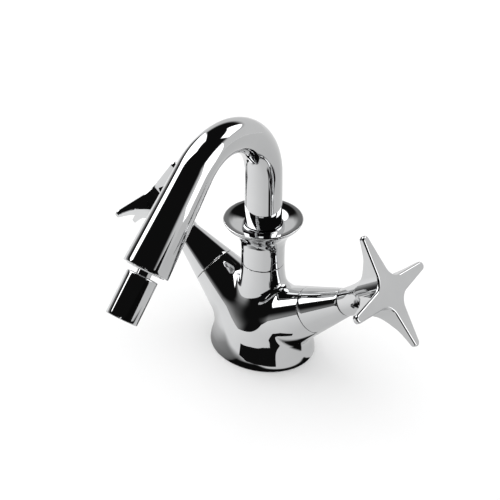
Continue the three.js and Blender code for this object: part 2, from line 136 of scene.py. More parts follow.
def fillet(points, closed=True):
    """Profile points [r, z] or [r, z, radius, steps]: corners with a radius become arcs. Returns points, dense."""
    pts = [list(p) + [0.0] * (4 - len(p)) for p in points]
    n = len(pts)
    out = []
    for i, (r, z, rad, steps) in enumerate(pts):
        p = np.array([r, z])
        if rad <= 0 or (not closed and i in (0, n - 1)):
            out.append(tuple(p))
            continue
        a = np.array(pts[(i - 1) % n][:2]) - p
        b = np.array(pts[(i + 1) % n][:2]) - p
        la, lb = np.linalg.norm(a), np.linalg.norm(b)
        a, b = a / la, b / lb
        cosang = float(np.clip(a @ b, -1, 1))
        half = math.acos(cosang) / 2
        t = min(rad / math.tan(half), la * 0.49, lb * 0.49)
        rr = t * math.tan(half)
        c = p + (a + b) / np.linalg.norm(a + b) * (rr / math.sin(half))
        p0, p1 = p + a * t - c, p + b * t - c
        a0, a1 = math.atan2(p0[1], p0[0]), math.atan2(p1[1], p1[0])
        d = (a1 - a0 + math.pi) % (2 * math.pi) - math.pi
        k = int(steps) if steps else 6
        for j in range(k + 1):
            q = a0 + d * j / k
            out.append((c[0] + rr * math.cos(q), c[1] + rr * math.sin(q)))
    return out


def densify(pts, step=1.2, closed=True):
    out = []
    n = len(pts)
    for i in range(n if closed else n - 1):
        a, b = np.array(pts[i]), np.array(pts[(i + 1) % n])
        d = np.linalg.norm(b - a)
        if d < 1e-6:
            continue
        k = max(1, int(math.ceil(d / step)))
        for j in range(k):
            out.append(tuple(a + (b - a) * j / k))
    if not closed:
        out.append(tuple(pts[-1]))
    return out


def ring_mesh(profile, segs=128, closed=True, on_axis=False):
    """Turned solid about Z. profile [r, z]; closed ring, or open with both ends on the axis."""
    P = np.array(profile, float)
    n = len(P)
    th = np.arange(segs) * 2 * math.pi / segs
    verts, faces = [], []
    c, s = np.cos(th), np.sin(th)
    idx = []
    for r, z in P:
        if on_axis and r < 1e-6:
            idx.append([len(verts)] * segs)
            verts.append((0, 0, z))
        else:
            idx.append(list(range(len(verts), len(verts) + segs)))
            verts.extend(zip(r * c, r * s, [z] * segs))
    m = n if closed else n - 1
    for i in range(m):
        A, B = idx[i], idx[(i + 1) % n]
        for j in range(segs):
            k = (j + 1) % segs
            f = [A[j], A[k], B[k], B[j]]
            g = []
            for q in f:
                if q not in g:
                    g.append(q)
            if len(g) >= 3:
                faces.append(g)
    verts = np.array(verts)
    return verts, orient(verts, faces)


def orient(verts, faces):
    """Faces pointing out, from the sign of the volume."""
    v = np.asarray(verts)
    vol = 0.0
    for f in faces:
        for i in range(1, len(f) - 1):
            vol += np.dot(v[f[0]], np.cross(v[f[i]], v[f[i + 1]]))
    if vol < 0:
        faces = [list(reversed(f)) for f in faces]
    return faces


def rotate_about(verts, place):
    m, o = place
    return np.asarray(verts) @ m.T + o


# ------------------------------------------------------------------ the casting's skin
def smin(a, b, k):
    h = np.clip(0.5 + 0.5 * (b - a) / k, 0, 1)
    return b + (a - b) * h - k * h * (1 - h)


def round_cone(p, a, b, r1, r2):
    """Signed distance to two balls and the cone touching both."""
    ba = b - a
    l2 = float(ba @ ba)
    rr = r1 - r2
    a2 = l2 - rr * rr
    il2 = 1.0 / l2
    pa = p - a
    y = pa @ ba
    z = y - l2
    x2 = np.sum((pa * l2 - np.outer(y, ba)) ** 2, 1)
    y2 = y * y * l2
    z2 = z * z * l2
    k = np.sign(rr) * rr * rr * x2
    d = (np.sqrt(x2 * a2 * il2) + y * rr) * il2 - r1
    d = np.where(np.sign(z) * a2 * z2 > k, np.sqrt(x2 + z2) * il2 - r2, d)
    d = np.where(np.sign(y) * a2 * y2 < k, np.sqrt(x2 + y2) * il2 - r1, d)
    return d


COS_A = math.cos(math.atan(ARM_SLOPE))
K_ARMS, K_STEM = 4.0, 5.0
STEM = [(26.0, 0), (25.93, 1.2), (25.6, 3), (25.0, 5.5), (24.2, 8.3), (23.0, 11.8), (21.6, 15.5), (20.1, 19), (18.3, 23.2),
        (16.3, 28), (14.5, 33), (12.95, 38), (12.05, 43), (11.5, 48), (NECK_R, NECK_Z), (NECK_R, 66)]
stem_r = pchip([z for r, z in STEM], [r for r, z in STEM])


def oval(z):
    return 1 + (BASE_RX / BASE_RY - 1) * np.clip((32 - z) / 18, 0, 1)


def skin(p):
    """Signed distance to the casting's outer skin: oval foot, trunk and column, with two cones for the arms."""
    p = np.asarray(p, float)
    d = None
    for side in (1, -1):
        ax = np.array([side * math.cos(TILT), 0, math.sin(TILT)])
        o = np.array([0, 0, ARM_Z0])
        c = round_cone(p, o, o + ax * 62.0, arm_r(0) * COS_A, arm_r(62.0) * COS_A)
        d = c if d is None else smin(d, c, K_ARMS)
    z = np.clip(p[:, 2], 0, 66)
    stem = (np.hypot(p[:, 0] / oval(z), p[:, 1]) - stem_r(z)) * 0.85
    return smin(d, stem, K_STEM)


def skin_grad(p, h=0.02):
    g = np.zeros_like(p)
    for i in range(3):
        e = np.zeros(3)
        e[i] = h
        g[:, i] = skin(p + e) - skin(p - e)
    return g / np.linalg.norm(g, axis=1)[:, None]


def cube_sphere(n):
    """Directions and quads of a cube pushed out to a ball."""
    t = np.tan(np.linspace(-math.pi / 4, math.pi / 4, n + 1))
    key, dirs, quads = {}, [], []
    for axis in range(3):
        for sgn in (1, -1):
            grid = np.zeros((n + 1, n + 1), int)
            for i in range(n + 1):
                for j in range(n + 1):
                    v = [0, 0, 0]
                    v[axis] = float(sgn)
                    v[(axis + 1) % 3] = t[i] * sgn
                    v[(axis + 2) % 3] = t[j]
                    k = tuple(round(c, 6) for c in v)
                    if k not in key:
                        key[k] = len(dirs)
                        dirs.append(v)
                    grid[i, j] = key[k]
            for i in range(n):
                for j in range(n):
                    quads.append((grid[i, j], grid[i + 1, j], grid[i + 1, j + 1], grid[i, j + 1]))
    d = np.array(dirs)
    d /= np.linalg.norm(d, axis=1)[:, None]
    return d, quads


def skin_points(dirs, centre, tmax=60.0):
    """Where each ray from the centre leaves the skin."""
    n = len(dirs)
    lo = np.zeros(n)
    hi = np.full(n, np.nan)
    t = np.full(n, 4.0)
    step = 1.5
    prev = np.full(n, 2.5)
    live = np.ones(n, bool)
    while live.any() and t[live].min() < tmax:
        f = np.full(n, -1.0)
        f[live] = skin(centre + dirs[live] * t[live, None])
        out = live & (f > 0)
        lo[out] = prev[out]
        hi[out] = t[out]
        live &= ~out
        prev[live] = t[live]
        t[live] += step
    hi[live] = tmax
    lo[live] = tmax - step
    for _ in range(26):
        mid = 0.5 * (lo + hi)
        f = skin(centre + dirs * mid[:, None])
        inside = f < 0
        lo = np.where(inside, mid, lo)
        hi = np.where(inside, hi, mid)
    return centre + dirs * (0.5 * (lo + hi))[:, None]


# ------------------------------------------------------------------ finishes
def nodes_of(name):
    mt = bpy.data.materials.new(name)
    mt.use_nodes = True
    nt = mt.node_tree
    return mt, nt, nt.nodes["Principled BSDF"]


def noise(nt, scale, detail=3.0, rough=0.5, stretch=None):
    tc = nt.nodes.new("ShaderNodeTexCoord")
    n = nt.nodes.new("ShaderNodeTexNoise")
    n.inputs["Scale"].default_value = scale
    n.inputs["Detail"].default_value = detail
    n.inputs["Roughness"].default_value = rough
    if stretch:
        mp = nt.nodes.new("ShaderNodeMapping")
        mp.inputs["Scale"].default_value = stretch
        nt.links.new(tc.outputs["Object"], mp.inputs["Vector"])
        nt.links.new(mp.outputs["Vector"], n.inputs["Vector"])
    else:
        nt.links.new(tc.outputs["Object"], n.inputs["Vector"])
    return n.outputs["Fac"]


def ramp(nt, fac, stops):
    r = nt.nodes.new("ShaderNodeValToRGB")
    e = r.color_ramp.elements
    while len(e) < len(stops):
        e.new(0.5)
    for el, (pos, col) in zip(e, stops):
        el.position = pos
        el.color = (col[0], col[1], col[2], 1) if hasattr(col, "__len__") else (col, col, col, 1)
    nt.links.new(fac, r.inputs["Fac"])
    return r.outputs["Color"]


def remap(nt, fac, lo, hi, a=0.3, b=0.7):
    m = nt.nodes.new("ShaderNodeMapRange")
    m.inputs["From Min"].default_value, m.inputs["From Max"].default_value = a, b
    m.inputs["To Min"].default_value, m.inputs["To Max"].default_value = lo, hi
    nt.links.new(fac, m.inputs["Value"])
    return m.outputs["Result"]


def bump(nt, bs, height, strength, dist):
    b = nt.nodes.new("ShaderNodeBump")
    b.inputs["Strength"].default_value = strength
    b.inputs["Distance"].default_value = dist
    nt.links.new(height, b.inputs["Height"])
    nt.links.new(b.outputs["Normal"], bs.inputs["Normal"])


def chrome_mat(name, lo=(0.66, 0.665, 0.672), hi=(0.71, 0.715, 0.72), r0=0.012, r1=0.035, wave=0.012):
    """Bright chrome plate: faint cloudiness, a trace of wiping marks and the last waviness of the polished casting."""
    mt, nt, bs = nodes_of(name)
    bs.inputs["Metallic"].default_value = 1.0
    nt.links.new(ramp(nt, noise(nt, 38.0, 4.0), [(0.3, lo), (0.7, hi)]), bs.inputs["Base Color"])
    nt.links.new(remap(nt, noise(nt, 120.0, 5.0, 0.62, (1, 1, 3.2)), r0, r1), bs.inputs["Roughness"])
    bump(nt, bs, noise(nt, 90.0, 2.0), wave, 0.0004)
    return mt


def metal_mat(name, lo, hi, rough, rings=900.0, strength=0.25):
    """Machined metal: turning marks, colour drift and uneven sheen."""
    mt, nt, bs = nodes_of(name)
    bs.inputs["Metallic"].default_value = 1.0
    nt.links.new(ramp(nt, noise(nt, 60.0, 5.0), [(0.28, lo), (0.72, hi)]), bs.inputs["Base Color"])
    nt.links.new(remap(nt, noise(nt, 240.0, 4.0), rough * 0.75, rough * 1.3), bs.inputs["Roughness"])
    tc = nt.nodes.new("ShaderNodeTexCoord")
    wv = nt.nodes.new("ShaderNodeTexWave")
    wv.wave_type = "RINGS"
    wv.rings_direction = "Z"
    wv.inputs["Scale"].default_value = rings
    wv.inputs["Distortion"].default_value = 1.5
    wv.inputs["Detail"].default_value = 2.0
    nt.links.new(tc.outputs["Object"], wv.inputs["Vector"])
    bump(nt, bs, wv.outputs["Fac"], strength, 0.00002)
    return mt


def solid_mat(name, lo, hi, rough, grain, strength, coat=0.0, sss=0.0):
    """Moulded or fired material with its own grain."""
    mt, nt, bs = nodes_of(name)
    nt.links.new(ramp(nt, noise(nt, 80.0, 5.0), [(0.3, lo), (0.7, hi)]), bs.inputs["Base Color"])
    nt.links.new(remap(nt, noise(nt, 300.0, 3.0), rough * 0.85, min(1.0, rough * 1.15)), bs.inputs["Roughness"])
    bs.inputs["Coat Weight"].default_value = coat
    bs.inputs["Subsurface Weight"].default_value = sss
    bs.inputs["Subsurface Scale"].default_value = 0.001
    bump(nt, bs, noise(nt, grain, 4.0, 0.6), strength, 0.00006)
    return mt


CHROME = chrome_mat("chrome_cast")
CHROME_TUBE = chrome_mat("chrome_tube", r0=0.010, r1=0.028, wave=0.006)
CHROME_SMALL = chrome_mat("chrome_small", r0=0.02, r1=0.05, wave=0.008)
CHROME_INSIDE = chrome_mat("chrome_unpolished", (0.52, 0.50, 0.46), (0.62, 0.6, 0.56), 0.22, 0.42, 0.25)
BRASS = metal_mat("brass_machined", (0.62, 0.43, 0.19), (0.76, 0.56, 0.28), 0.28)
STEEL = metal_mat("steel_drawn", (0.50, 0.51, 0.52), (0.64, 0.65, 0.66), 0.24, 1400.0, 0.2)
RUBBER = solid_mat("rubber_black", (0.010, 0.010, 0.011), (0.026, 0.026, 0.028), 0.72, 2600.0, 0.35)
ACETAL = solid_mat("acetal_white", (0.72, 0.70, 0.64), (0.82, 0.80, 0.75), 0.42, 1800.0, 0.15, sss=0.15)
CERAMIC = solid_mat("ceramic_lapped", (0.80, 0.79, 0.74), (0.88, 0.87, 0.83), 0.2, 3400.0, 0.08, coat=0.3)


# ------------------------------------------------------------------ cutting, keeping exact shading
def lathe_cutter(profile, segs=64, place=IDENT):
    v, f = ring_mesh(profile, segs, closed=False, on_axis=True)
    return rotate_about(v, place), f


def cylinder_cutter(a, b, r, segs=40):
    a, b = np.array(a, float), np.array(b, float)
    z = (b - a) / np.linalg.norm(b - a)
    x = np.cross(z, [0, 1, 0] if abs(z[1]) < 0.9 else [1, 0, 0])
    x /= np.linalg.norm(x)
    m = np.stack([x, np.cross(z, x), z], 1)
    length = float(np.linalg.norm(b - a))
    return lathe_cutter([[0, 0], [r, 0], [r, length], [0, length]], segs, (m, a))


def block_cutter(lo, hi, place=IDENT):
    v = np.array([[x, y, z] for x in (lo[0], hi[0]) for y in (lo[1], hi[1]) for z in (lo[2], hi[2])], float)
    f = [[0, 1, 3, 2], [4, 6, 7, 5], [0, 4, 5, 1], [2, 3, 7, 6], [0, 2, 6, 4], [1, 5, 7, 3]]
    return rotate_about(v, place), orient(v, f)


def cut(ob, cutters, shade):
    """Cuts closed tools out of a mesh. shade(points, face_normals) gives the new corner normals."""
    for i, (v, f) in enumerate(cutters):
        me = bpy.data.meshes.new("cutter")
        me.from_pydata((np.asarray(v) * MM).tolist(), [], [list(map(int, q)) for q in f])
        me.update()
        tool = bpy.data.objects.new("cutter", me)
        bpy.context.scene.collection.objects.link(tool)
        md = ob.modifiers.new("cut", "BOOLEAN")
        md.operation = "DIFFERENCE"
        md.solver = "MANIFOLD"
        md.object = tool
        dg = bpy.context.evaluated_depsgraph_get()
        new = bpy.data.meshes.new_from_object(ob.evaluated_get(dg))
        ob.modifiers.clear()
        old = ob.data
        if len(new.polygons):
            new.name = old.name + "_cut"
            ob.data = new
            bpy.data.meshes.remove(old)
        bpy.data.objects.remove(tool)
        bpy.data.meshes.remove(me)
    me = ob.data
    me.polygons.foreach_set("use_smooth", [True] * len(me.polygons))
    co = np.zeros(len(me.vertices) * 3)
    me.vertices.foreach_get("co", co)
    co = co.reshape(-1, 3) / MM
    lv = np.zeros(len(me.loops), int)
    me.loops.foreach_get("vertex_index", lv)
    pn = np.zeros(len(me.polygons) * 3)
    me.polygons.foreach_get("normal", pn)
    pn = pn.reshape(-1, 3)
    tot = np.zeros(len(me.polygons), int)
    me.polygons.foreach_get("loop_total", tot)
    fn = np.repeat(pn, tot, axis=0)
    me.normals_split_custom_set(shade(co[lv], fn).tolist())
    return ob


def keep_shade(ob, place=IDENT):
    """Shading for cut(): corner normals from the mesh as it was before, flat where the tool cut."""
    me = ob.data
    co = np.zeros(len(me.vertices) * 3)
    me.vertices.foreach_get("co", co)
    co = co.reshape(-1, 3) / MM
    lv = np.zeros(len(me.loops), int)
    me.loops.foreach_get("vertex_index", lv)
    ln = np.zeros(len(me.loops) * 3)
    me.corner_normals.foreach_get("vector", ln)
    ln = ln.reshape(-1, 3)
    from mathutils.kdtree import KDTree
    kd = KDTree(len(lv))
    pts = co[lv]
    for i, p in enumerate(pts):
        kd.insert(p, i)
    kd.balance()

    def shade(p, fn):
        out = fn.copy()
        for i in range(len(p)):
            best, bd = None, 0.93
            for _, k, dist in kd.find_n(p[i], 10):
                if dist > 1.2:
                    break
                q = float(ln[k] @ fn[i])
                if q > bd:
                    best, bd = ln[k], q
                    if dist < 1e-3 and q > 0.97:
                        break
            if best is not None:
                out[i] = best
        return out
    return shade


# ------------------------------------------------------------------ turned pieces
def turned_piece(name, profile, segs, body, mat, replaces, place=IDENT, sharp=32, closed=True):
    v, f = ring_mesh(profile, segs, closed=closed, on_axis=not closed)
    return make(name, v, f, smooth_deg=sharp, body=body, mats=[mat], replaces=replaces, place=place)


def collar_profile():
    out = pchip([52.75, 60.5, 63.2, 66.0, 68.7, 71.1, 73.3, 75.1, 77.0, 78.1],
                [11.3, 11.3, 11.52, 11.97, 13.07, 14.47, 16.22, 17.97, 19.82, 20.42])
    dish = pchip([9.95, 12.0, 14.0, 16.0, 18.0, 20.0], [76.36, 77.25, 77.94, 78.43, 78.67, 78.7])
    p = [(10.0, 52.75), (11.05, 52.75), (11.22, 52.83), (11.3, 53.0)]
    p += [(float(out(z)), z) for z in np.arange(53.6, 60.4, 1.1)]
    p += [(float(out(z)), z) for z in np.arange(60.4, 78.05, 0.42)]
    p += [(20.43, 78.12), (20.45, 78.26), (20.42, 78.42), (20.33, 78.56), (20.2, 78.66), (20.02, 78.7)]
    p += [(r, float(dish(r))) for r in np.arange(19.7, 10.3, -0.36)]
    p += [(10.16, 76.42), (10.0, 76.28), (9.95, 76.0), (9.95, 65.0), (10.0, 53.0)]
    return p


turned_piece("dished_collar", collar_profile(), 192, "root", CHROME_TUBE, ["spout_collar"], sharp=38)

# ------------------------------------------------------------------ spout
TUBE = pchip([54.4, RIM_Z, BEND_Z, BEND_Z + ARC_L / 3, BEND_Z + 2 * ARC_L / 3, BEND_Z + ARC_L, END_T],
             [9.58, 9.58, 9.37, 8.98, 8.33, 9.05, 11.15])


def bend(v):
    v = np.array(v, float)
    d = v[:, 2] - BEND_Z
    a = np.clip(d / BEND_R, 0, BEND)
    rest = np.maximum(d - ARC_L, 0)
    cy = -BEND_R + BEND_R * np.cos(a) - np.sin(a) * rest
    cz = BEND_Z + BEND_R * np.sin(a) + np.cos(a) * rest
    out = v.copy()
    k = d > 0
    out[k, 1] = (cy + v[:, 1] * np.cos(a))[k]
    out[k, 2] = (cz + v[:, 1] * np.sin(a))[k]
    return out


def spout():
    p = []
    p += fillet([[WATER_R, 28.0], [7.6, 28.0, 0.0, 0], [8.0, 28.4]], False)
    for z in (31.4, 41.6):
        p += [(8.0, z - 1.5), (8.0, z - 1.2), (6.5, z - 1.2), (6.5, z + 1.2), (8.0, z + 1.2), (8.0, z + 1.5)]
    p += [(8.0, 47.0), (8.0, 53.2), (9.58, 54.4)]
    p += [(float(TUBE(t)), t) for t in np.arange(56.0, BEND_Z - 0.5, 2.4)]
    p += [(float(TUBE(t)), t) for t in np.linspace(BEND_Z, BEND_Z + ARC_L, 64)]
    p += [(float(TUBE(t)), t) for t in np.arange(BEND_Z + ARC_L + 1.6, END_T - 0.7, 1.6)]
    r = float(TUBE(END_T))
    p += [(r - 0.01, END_T - 0.5), (r - 0.05, END_T - 0.3), (r - 0.16, END_T - 0.12), (r - 0.34, END_T - 0.02),
          (r - 0.5, END_T), (9.75, END_T), (9.62, END_T - 0.12), (9.6, END_T - 0.4)]
    p += [(9.6, END_T - 8), (9.6, END_T - 15.5), (WATER_R, END_T - 15.5)]
    p += [(WATER_R, t) for t in np.linspace(END_T - 18, BEND_Z + ARC_L + 2, 10)]
    p += [(WATER_R, t) for t in np.linspace(BEND_Z + ARC_L, BEND_Z, 28)]
    p += [(WATER_R, t) for t in np.arange(100.0, 30.0, -6.0)]
    v, f = ring_mesh(p, 112, closed=True)
    ob = make("swan_neck", bend(v), f, smooth_deg=30, body="spout", mats=[CHROME_TUBE], replaces=["spout_tube"])
    # slot in the shank that the locking screw runs in
    a = np.linspace(8, 172, 42) * RAD
    ring = [(r * math.cos(t), r * math.sin(t)) for r, ts in ((6.9, a), (9.2, a[::-1])) for t in ts]
    n = len(ring)
    lo, hi = 36.6 - 2.4, 36.6 + 2.4
    verts = np.array([(x, y, z) for z in (lo, hi) for x, y in ring])
    faces = [tuple(range(n))[::-1], tuple(range(n, 2 * n))] + [(i, (i + 1) % n, n + (i + 1) % n, n + i) for i in range(n)]
    cut(ob, [(verts, orient(verts, faces))], keep_shade(ob))
    return ob


spout()


# ------------------------------------------------------------------ handles
TIP, TIP_R, TAPER, VALLEY = 29.85, 2.25, 0.122, 7.6
TIP_C = TIP - TIP_R
TRUMPET = [(31.5, 2.4), (28, 2.9), (25, 3.5), (20, 4.9), (17, 6.6), (14, 8.6), (12, 10.4), (10.5, 12.6), (9.2, 15.8),
           (8.2, 19.6), (7.5, 24), (7.15, 30.1)]
back_h = pchip([r for r, h in TRUMPET[::-1]], [h for r, h in TRUMPET[::-1]])


def back_slope(r):
    return (back_h(r + 0.02) - back_h(r - 0.02)) / 0.04


def outline():
    """Cross outline: points and outward normals, going round once."""
    def w(u):
        return TIP_R * 0.99 + TAPER * (TIP_C - u)
    corner = (TIP_R * 0.99 + TAPER * TIP_C) / (1 + TAPER)
    half = math.acos(-2 * TAPER / (1 + TAPER ** 2)) / 2
    tl = VALLEY / math.tan(half)
    ut = corner + tl / math.hypot(1, TAPER)
    cc = corner + VALLEY / math.sin(half) * math.sqrt(0.5)
    a0, a1 = math.atan2(w(ut) - cc, ut - cc), math.atan2(ut - cc, w(ut) - cc)
    da = a1 - a0
    while da > 0:
        da -= 2 * math.pi
    if da < -math.pi:
        da += 2 * math.pi
    q = math.hypot(1, TAPER)
    P, N = [], []
    for k in range(4):
        c, s = math.cos(k * math.pi / 2), math.sin(k * math.pi / 2)

        def put(u, v, nu, nv):
            P.append((c * u - s * v, s * u + c * v))
            N.append((c * nu - s * nv, s * nu + c * nv))
        tip = math.atan(1 / TAPER)
        for i in range(15):
            a = -tip + 2 * tip * i / 14
            put(TIP_C + TIP_R * math.cos(a), TIP_R * math.sin(a), math.cos(a), math.sin(a))
        e = (TIP_C + TIP_R * math.cos(tip), TIP_R * math.sin(tip))
        for i in range(1, 16):
            t = i / 16
            put(e[0] + (ut - e[0]) * t, e[1] + (w(ut) - e[1]) * t, TAPER / q, 1 / q)
        for i in range(17):
            a = a0 + da * i / 16
            put(cc + VALLEY * math.cos(a), cc + VALLEY * math.sin(a), -math.cos(a), -math.sin(a))
        for i in range(1, 16):
            t = 1 - i / 16
            put(e[1] + (w(ut) - e[1]) * t, e[0] + (ut - e[0]) * t, 1 / q, TAPER / q)
    return np.array(P), np.array(N)


def strips(rings, shades):
    """Faces between rings of points; shades[i] = normals on strip i at its first and second ring."""
    verts, start = [], []
    for r in rings:
        start.append(len(verts))
        verts.extend(r)
    n = max(len(r) for r in rings)
    faces, normals = [], []
    for i, (na, nb) in enumerate(shades):
        A, B = rings[i], rings[i + 1]
        for j in range(n):
            k = (j + 1) % n
            if len(A) == 1:
                faces.append([start[i], start[i + 1] + k, start[i + 1] + j])
                normals.append([na[0], nb[k], nb[j]])
            elif len(B) == 1:
                faces.append([start[i] + j, start[i] + k, start[i + 1]])
                normals.append([na[j], na[k], nb[0]])
            else:
                faces.append([start[i] + j, start[i] + k, start[i + 1] + k, start[i + 1] + j])
                normals.append([na[j], na[k], nb[k], nb[j]])
    v = np.array(verts, float)
    vol = sum(float(np.dot(v[f[0]], np.cross(v[f[i]], v[f[i + 1]]))) for f in faces for i in range(1, len(f) - 1))
    if vol < 0:
        faces = [f[::-1] for f in faces]
        normals = [q[::-1] for q in normals]
    return v, faces, np.array([q for ns in normals for q in ns], float)


EDGE, SMALL = 1.05, 0.35


def handle(word, side):
    P, N = outline()
    n = len(P)
    rho = np.hypot(P[:, 0], P[:, 1])
    up = np.tile([0.0, 0, 1], (n, 1))
    down = -up

    def at(xy, h):
        h = np.full(n, h) if np.isscalar(h) else h
        return np.column_stack([xy, S3 - h])
    wall = np.column_stack([N, np.zeros(n)])
    rings, shades = [np.array([[0, 0, S3]])], []
    inner = P - N * EDGE
    for t in (0.2, 0.4, 0.6, 0.8, 1.0):
        rings.append(at(inner * t, 0.0))
        shades.append((up if len(rings) > 2 else up[:1], up))
    prev = up
    for i in range(1, 8):
        a = math.pi / 2 * i / 7
        nn = np.column_stack([N * math.sin(a), np.full(n, math.cos(a))])
        rings.append(at(inner + N * EDGE * math.sin(a), EDGE * (1 - math.cos(a))))
        shades.append((prev, nn))
        prev = nn
    deep = back_h(rho) - SMALL
    for t in np.linspace(0, 1, 6)[1:]:
        rings.append(at(P, EDGE + (deep - EDGE) * t))
        shades.append((wall, wall))
    # small rounding onto the trumpet back
    Q = P - N * SMALL
    rq = np.hypot(Q[:, 0], Q[:, 1])
    U = Q / rq[:, None]

    def back_n(r):
        sl = back_slope(r)
        v = np.column_stack([-sl[:, None] * U, -np.ones(n)])
        return v / np.linalg.norm(v, axis=1)[:, None]
    bn = back_n(rq)
    rings.append(at(Q, back_h(rq)))
    shades.append((wall, bn))
    RC = 8.35
    prev = bn
    K = 24
    for i in range(1, K + 1):
        r = RC + (rq - RC) * (1 - i / K) ** 1.25
        nn = back_n(r)
        rings.append(at(U * r[:, None], back_h(r)))
        shades.append((prev, nn))
        prev = nn
    table_r = np.linspace(RC, 7.15, 400)
    table_h = back_h(table_r)
    for h in np.linspace(float(table_h[0]), 29.75, 14)[1:]:
        r = np.full(n, float(np.interp(h, table_h, table_r)))
        nn = back_n(r)
        rings.append(at(U * r[:, None], h))
        shades.append((prev, nn))
        prev = nn
    rings.append(at(U * 6.85, 30.1))
    shades.append((prev, down))
    rings.append(at(U * 3.6, 30.1))
    shades.append((down, down))
    bore = np.column_stack([-U, np.zeros(n)])
    rings.append(at(U * 3.3, 29.8))
    shades.append((down, bore))
    for h in (22.0, 15.0, 9.0):
        rings.append(at(U * 3.3, h))
        shades.append((bore, bore))
    rings.append(np.array([[0, 0, S3 - 8.1]]))
    shades.append((down, down[:1]))
    v, f, ln = strips(rings, shades)
    ob = make(f"{word}_cross_handle", v, f, loop_normals=ln, body=f"{word}_valve", mats=[CHROME],
              replaces=[f"{word}_handle"], place=arm_matrix(side))
    shade = keep_shade(ob)
    m, o = arm_matrix(side)
    a = m @ np.array([0, -2.0, 69.5]) + o
    b = m @ np.array([0, -12.0, 69.5]) + o
    cut(ob, [cylinder_cutter(a, b, 1.9)], shade)
    return ob


# ------------------------------------------------------------------ casting
def casting():
    dirs, quads = cube_sphere(120)
    pts = skin_points(dirs, np.array([0, 0, 8.0]))
    bm = bmesh.new()
    vs = [bm.verts.new(p) for p in pts]
    for q in quads:
        bm.faces.new([vs[i] for i in q])
    bm.normal_update()
    seams = [((0, 0, NECK_Z - 0.15), (0, 0, 1.0))]
    for side in (1, -1):
        a = np.array([side * math.cos(TILT), 0, math.sin(TILT)])
        seams.append((tuple(np.array([0, 0, ARM_Z0]) + a * (S1 - 0.15)), tuple(a)))
    for co, no in seams:
        geo = bm.verts[:] + bm.edges[:] + bm.faces[:]
        near = tuple(np.array(co) - np.array(no) * 0.3)
        bmesh.ops.bisect_plane(bm, geom=geo, plane_co=near, plane_no=no, dist=1e-5)
        geo = bm.verts[:] + bm.edges[:] + bm.faces[:]
        bmesh.ops.bisect_plane(bm, geom=geo, plane_co=co, plane_no=no, clear_outer=True, dist=1e-5)
        for v in bm.verts:
            p = np.array(v.co) - np.array(co)
            if abs(float(p @ np.array(no))) < 1e-3 and v.is_boundary:
                r = np.linalg.norm(p)
                v.co = Vector(np.array(co) + p * (r - 0.17) / r)
    geo = bm.verts[:] + bm.edges[:] + bm.faces[:]
    bmesh.ops.bisect_plane(bm, geom=geo, plane_co=(0, 0, 0), plane_no=(0, 0, -1), clear_outer=True, dist=1e-5)
    bmesh.ops.holes_fill(bm, edges=[e for e in bm.edges if e.is_boundary], sides=0)
    bmesh.ops.triangulate(bm, faces=[f for f in bm.faces if len(f.verts) > 4])
    bmesh.ops.recalc_face_normals(bm, faces=bm.faces[:])
    for v in bm.verts:
        v.co *= MM
    me = bpy.data.meshes.new("tap_body")
    bm.to_mesh(me)
    bm.free()
    ob = bpy.data.objects.new("tap_body", me)
    bpy.context.scene.collection.objects.link(ob)
    me.materials.append(CHROME)
    tools = [lathe_cutter([[0, 25], [8.6, 25], [8.6, 43.7], [9.6, 43.7], [9.6, 60], [0, 60]])]
    for side in (1, -1):
        tools.append(lathe_cutter([[0, 18], [8.6, 18], [8.6, 60], [0, 60]], 64, arm_matrix(side)))
        tools.append(cylinder_cutter([side * 10.5, -5.5, -5], [side * 10.5, -5.5, 12], 4.6))
        tools.append(cylinder_cutter([side * 10.5, -4.4, 9], [side * 15.4, 0, 23.8], 2.6))
        tools.append(cylinder_cutter([side * 4, 0, 32], [side * 19, 0, 32], 2.5))
    tools.append(cylinder_cutter([0, 14, -5], [0, 14, 14], 3.9))
    tools.append(cylinder_cutter([0, 4, 36.6], [0, 30, 36.6], 2.6))
    groove = ring_mesh([(0.86, -4.0), (1.0, -4.0), (1.0, 1.6), (0.86, 1.6)], 128, closed=True)
    gv = np.array(groove[0])
    gr = np.hypot(gv[:, 0], gv[:, 1])
    inner = gr < 0.9
    gv[:, 0] = np.where(inner, gv[:, 0] / 0.86 * 24.2, gv[:, 0] * 28.2)
    gv[:, 1] = np.where(inner, gv[:, 1] / 0.86 * 20.2, gv[:, 1] * 24.2)
    tools.append((gv, groove[1]))

    def shade(p, fn):
        d = skin(p)
        g = skin_grad(p)
        dot = np.sum(g * fn, 1)
        out = fn.copy()
        on = (np.abs(d) < 0.03) & (dot > 0.75) & (p[:, 2] > 1e-3)
        foot = (np.abs(d) < 0.03) & (dot > 0.75) & (p[:, 2] <= 1e-3)
        out[on | foot] = g[on | foot]
        rim = (np.abs(d) >= 0.03) & (np.abs(d) < 0.3) & (dot > 0.5) & (dot < 0.98)
        m = 0.35 * g[rim] + 0.65 * fn[rim]
        out[rim] = m / np.linalg.norm(m, axis=1)[:, None]
        return out
    cut(ob, tools, shade)
    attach(ob, "root")
    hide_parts("body_casting")
    return ob


casting()

for word, side in (("right", 1), ("left", -1)):
    c0, c1 = S1 + 0.15, S2 - 0.15
    prof = fillet([[arm_r(c0) - 1.5, c0], [arm_r(c0), c0, 0.22, 4], [arm_r(c1), c1, 0.22, 4], [5.95, c1, 0.1, 3],
                   [5.95, c1 - 1.2], [arm_r(c1 - 2.2) - 1.4, c1 - 2.2]])
    turned_piece(f"{word}_skirt", densify(prof, 1.6), 160, "root", CHROME, [f"{word}_bonnet_cover"],
                 place=arm_matrix(side), sharp=40)
    handle(word, side)

